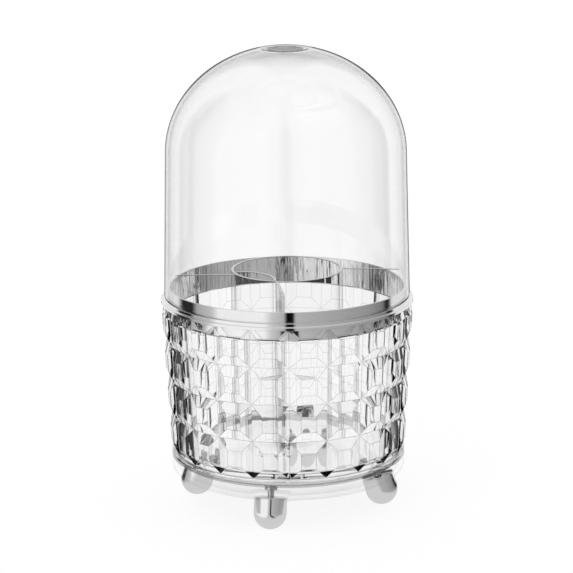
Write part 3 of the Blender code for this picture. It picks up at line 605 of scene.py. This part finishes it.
def makeBucket():
    b = bucket
    corner = 1 / math.cos(math.pi / b["columns"])
    outline = []
    for row in range(b["rows"] + 1):
        radius = b["grooveFoot"] + (b["grooveTop"] - b["grooveFoot"]) * row / b["rows"]
        outline.append((radius * corner, b["rowsLow"] + row * b["rowHeight"]))
    body = turnPiece("cutBucket", outline, b["columns"], closed=False)
    bpy.ops.object.mode_set(mode="EDIT")
    bpy.ops.mesh.select_all(action="DESELECT")
    bpy.ops.mesh.select_mode(type="FACE")
    bpy.ops.object.mode_set(mode="OBJECT")
    for face in body.data.polygons:
        face.select = len(face.vertices) == 4
    bpy.ops.object.mode_set(mode="EDIT")
    bpy.ops.mesh.inset(thickness=b["inset"] * mm, depth=b["rise"] * mm, use_individual=True)
    bpy.ops.mesh.select_mode(type="VERT")
    bpy.ops.object.mode_set(mode="OBJECT")
    placePiece(body, Matrix.Rotation(math.radians(b["turnDegrees"]), 4, "Z"))
    roundEdges(body, b["edge"], b["edgeSteps"], b["sharpDegrees"])

    within = b["grooveFoot"] - b["wall"] / 2
    recess = b["footRadius"] - b["footWidth"]
    foot = turnPiece("bucketFoot", [
        (within, b["rowsLow"] + overrun), (within, b["rowsLow"]),
        (b["footRadius"], b["rowsLow"]), (b["footRadius"], b["low"]),
        (recess, b["low"]), (recess, b["floorLow"]),
        (b["hubRadius"], b["floorLow"]), (b["hubRadius"], b["hubLow"]),
    ], closed=False)
    cutOrJoin(body, [foot], "UNION")

    foot = b["grooveFoot"] - b["wall"]
    slope = (b["grooveTop"] - b["grooveFoot"]) / (b["rows"] * b["rowHeight"])
    atFloor = foot + slope * (b["floorTop"] - b["rowsLow"])
    atMouth = foot + slope * (b["mouthLow"] - b["rowsLow"])
    top = b["rowsLow"] + b["rows"] * b["rowHeight"] + overrun
    mouth = [(b["mouth"], top), (b["mouth"], b["mouthLow"]), (atMouth, b["mouthLow"])]
    cove = arcPoints(atFloor - b["cove"], b["floorTop"] + b["cove"], b["cove"], 0, -90, b["coveSteps"])
    pivot = [
        (b["counterbore"], b["floorTop"]), (b["counterbore"], b["counterboreLow"]),
        (b["pivotHole"], b["counterboreLow"]), (b["pivotHole"], b["hubLow"] - overrun),
    ]
    inside = turnPiece("bucketInside", mouth + cove + pivot, closed=False)
    cutOrJoin(body, [inside], "DIFFERENCE")
    finishPiece(body, "turntable", cutAcrylic, ["bucket"], b["sharpDegrees"])
    # the narrow ridges take the painted shade
    body.data.materials.append(shadedRidgeAcrylic)
    ridgeLow = (b["rowsLow"] + b["ridgeRise"]) * mm
    for face in body.data.polygons:
        away = math.hypot(face.center.x, face.center.y)
        narrow = face.area < b["ridgeArea"] * mm * mm and face.center.z > ridgeLow
        face.material_index = int(narrow and away > b["ridgeRadius"] * mm)


cap = {
    "radius": 6.6, "low": 28.904, "thickness": 1.5, "edge": 0.45, "edgeSteps": 5, "middle": 0.3,
    "plug": 5.6, "plugBore": 5.0, "plugDepth": 2.1,
}


def makeHubCap():
    k = cap
    top = k["low"] + k["thickness"]
    plugLow = k["low"] - k["plugDepth"]
    brim = arcPoints(k["radius"] - k["edge"], top - k["edge"], k["edge"], 90, 0, k["edgeSteps"])
    outline = [(k["middle"], top)] + brim + [
        (k["radius"], k["low"]), (k["plug"], k["low"]), (k["plug"], plugLow),
        (k["plugBore"], plugLow), (k["plugBore"], k["low"]), (k["middle"], k["low"]),
    ]
    button = turnPiece("hubButton", outline, around["small"], closed=False)
    finishPiece(button, "turntable", sheetAcrylic, ["hub_cap"])


glide = {
    "outer": 56.0, "width": 3.6, "low": 23.704, "top": 25.104, "edge": 0.2, "edgeSteps": 2,
    "lipOuter": 53.3, "lipWidth": 0.8, "lip": 1.8,
}


def makeGlideRing():
    g = glide
    outline = [
        (g["outer"], g["top"]), (g["outer"], g["low"]),
        (g["lipOuter"], g["low"]), (g["lipOuter"], g["low"] - g["lip"]),
        (g["lipOuter"] - g["lipWidth"], g["low"] - g["lip"]), (g["outer"] - g["width"], g["top"]),
    ]
    ring = turnPiece("glideRing", outline)
    roundEdges(ring, g["edge"], g["edgeSteps"])
    finishPiece(ring, "base", greyRingPlastic, ["glide_ring"])


feet = {
    "names": ("foot_front", "foot_right", "foot_back", "foot_left"),
    "radius": 7.75, "flatRadius": 3.0, "circle": 45.5, "splayDegrees": 15.0, "turnDegrees": -11.0,
    "edge": 0.5, "edgeSteps": 4, "middle": 0.4, "roundEnd": -88, "roundSteps": 28, "sharpDegrees": 35,
    "socket": 1.5, "seatGap": 0.3, "screwHole": 1.8, "padRadius": 9.0, "padHeight": 2.0,
    "sameVertex": 0.000001,  # metres
}
dish = {
    "low": 6.9, "curve": 162.0, "radius": 56.0, "shoulder": 4.2, "rim": 3.56, "wall": 2.4,
    "bossRadius": 8.5, "bossTop": 19.704, "pivotHole": 2.3, "boreLow": 10.5,
    "edge": 0.3, "edgeSteps": 3, "sharpDegrees": 50,
    "outerSteps": 10, "innerSteps": 8, "bowlSteps": 16, "middle": 0.5,
}
footHeight = math.sqrt(feet["radius"] ** 2 - feet["flatRadius"] ** 2)


def footPlace(index):
    bearing = feet["turnDegrees"] + 90 * index
    across, along = planPoint(feet["circle"], bearing)
    turn = Matrix.Rotation(math.radians(bearing), 4, "Z")
    tilt = turn @ Matrix.Rotation(-math.radians(feet["splayDegrees"]), 4, "X")
    return Matrix.Translation((across * mm, along * mm, footHeight * mm)) @ tilt


def reachToBowl(curve):  # along a foot's axis, from its round end's centre to a face of the dish
    splay = math.radians(feet["splayDegrees"])
    up = dish["low"] + dish["curve"] - footHeight
    along = up * math.cos(splay) + feet["circle"] * math.sin(splay)
    return along - math.sqrt(curve ** 2 - up ** 2 - feet["circle"] ** 2 + along ** 2)


def makeFeet():
    f = feet
    reach = reachToBowl(dish["curve"]) + f["socket"] - f["seatGap"]
    outline = arcPoints(f["radius"] - f["edge"], reach - f["edge"], f["edge"], 90, 0, f["edgeSteps"])
    outline = [(f["middle"], reach)] + outline + [(f["radius"], reach / 2)]
    outline += arcPoints(0, 0, f["radius"], 0, f["roundEnd"], f["roundSteps"])
    for index, name in enumerate(f["names"]):
        foot = turnPiece(name.replace("foot_", "") + "Foot", outline, around["small"], closed=False)
        placePiece(foot, footPlace(index))
        deselectAll()
        foot.select_set(True)
        bpy.context.view_layer.objects.active = foot
        bpy.ops.object.mode_set(mode="EDIT")
        bpy.ops.mesh.select_all(action="SELECT")
        bpy.ops.mesh.bisect(plane_co=(0, 0, 0), plane_no=(0, 0, 1), threshold=f["sameVertex"],
                            clear_inner=True, use_fill=True)
        bpy.ops.object.mode_set(mode="OBJECT")
        finishPiece(foot, "base", chrome, [name], f["sharpDegrees"])


def makeDish():
    d = dish
    across = d["radius"] - d["shoulder"]
    toCentre = d["curve"] - d["shoulder"]
    centre = d["low"] + d["curve"] - math.sqrt(toCentre ** 2 - across ** 2)
    endDegrees = -90 + math.degrees(math.asin(across / toCentre))
    top = centre + d["rim"]

    def bowl(curve, edge):
        middle = d["low"] + d["curve"]
        steps = d["bowlSteps"]
        radii = [edge * (1 - i / steps) for i in range(1, steps)] + [d["middle"]]
        return [(radius, middle - math.sqrt(curve ** 2 - radius ** 2)) for radius in radii]

    outer = arcPoints(across, centre, d["shoulder"], 0, endDegrees, d["outerSteps"])
    inner = arcPoints(across, centre, d["shoulder"] - d["wall"], 0, endDegrees, d["innerSteps"])
    inside = inner + bowl(d["curve"] - d["wall"], inner[-1][0])
    outside = outer + bowl(d["curve"], outer[-1][0])
    outline = inside[::-1] + [(d["radius"] - d["wall"], top), (d["radius"], top)] + outside
    body = turnPiece("baseDish", outline, closed=False)
    roundEdges(body, d["edge"], d["edgeSteps"], d["sharpDegrees"])

    middle = d["low"] + d["wall"] / 2
    boss = [(d["bossRadius"], d["bossTop"]), (d["bossRadius"], middle)]
    bore = [(d["pivotHole"], d["bossTop"] + overrun), (d["pivotHole"], d["boreLow"])]
    raised = [turnPiece("boss", boss, around["small"], closed=False)]
    holes = [turnPiece("bore", bore, around["hole"], closed=False)]
    f = feet
    outerReach = reachToBowl(d["curve"])
    innerReach = reachToBowl(d["curve"] - d["wall"])
    padTop = innerReach + f["padHeight"]
    socketTop = outerReach + f["socket"]
    socketRadius = f["radius"] + f["seatGap"]
    padOutline = [(f["padRadius"], padTop), (f["padRadius"], (outerReach + innerReach) / 2)]
    for index in range(len(f["names"])):
        pad = turnPiece("pad", padOutline, around["small"], closed=False)
        placePiece(pad, footPlace(index))
        raised.append(pad)
        socket = turnPiece("socket", [
            (f["screwHole"], padTop + overrun), (f["screwHole"], socketTop),
            (socketRadius, socketTop), (socketRadius, outerReach - overrun),
        ], around["small"], closed=False)
        placePiece(socket, footPlace(index))
        holes.append(socket)
    cutOrJoin(body, raised, "UNION")
    cutOrJoin(body, holes, "DIFFERENCE")
    finishPiece(body, "base", dishAcrylic, ["base_dish"])


makeDome()
makeCollar()
makeInsert()
makeBucket()
makeHubCap()
makeGlideRing()
makeFeet()
makeDish()

print("stage 4: screws and washers")

for name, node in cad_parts.items():
    if "screw" in name and "washer" not in name:
        node.data.materials.clear()
        node.data.materials.append(zinc)
    elif "washer" in name:
        node.data.materials.clear()
        node.data.materials.append(nylon)
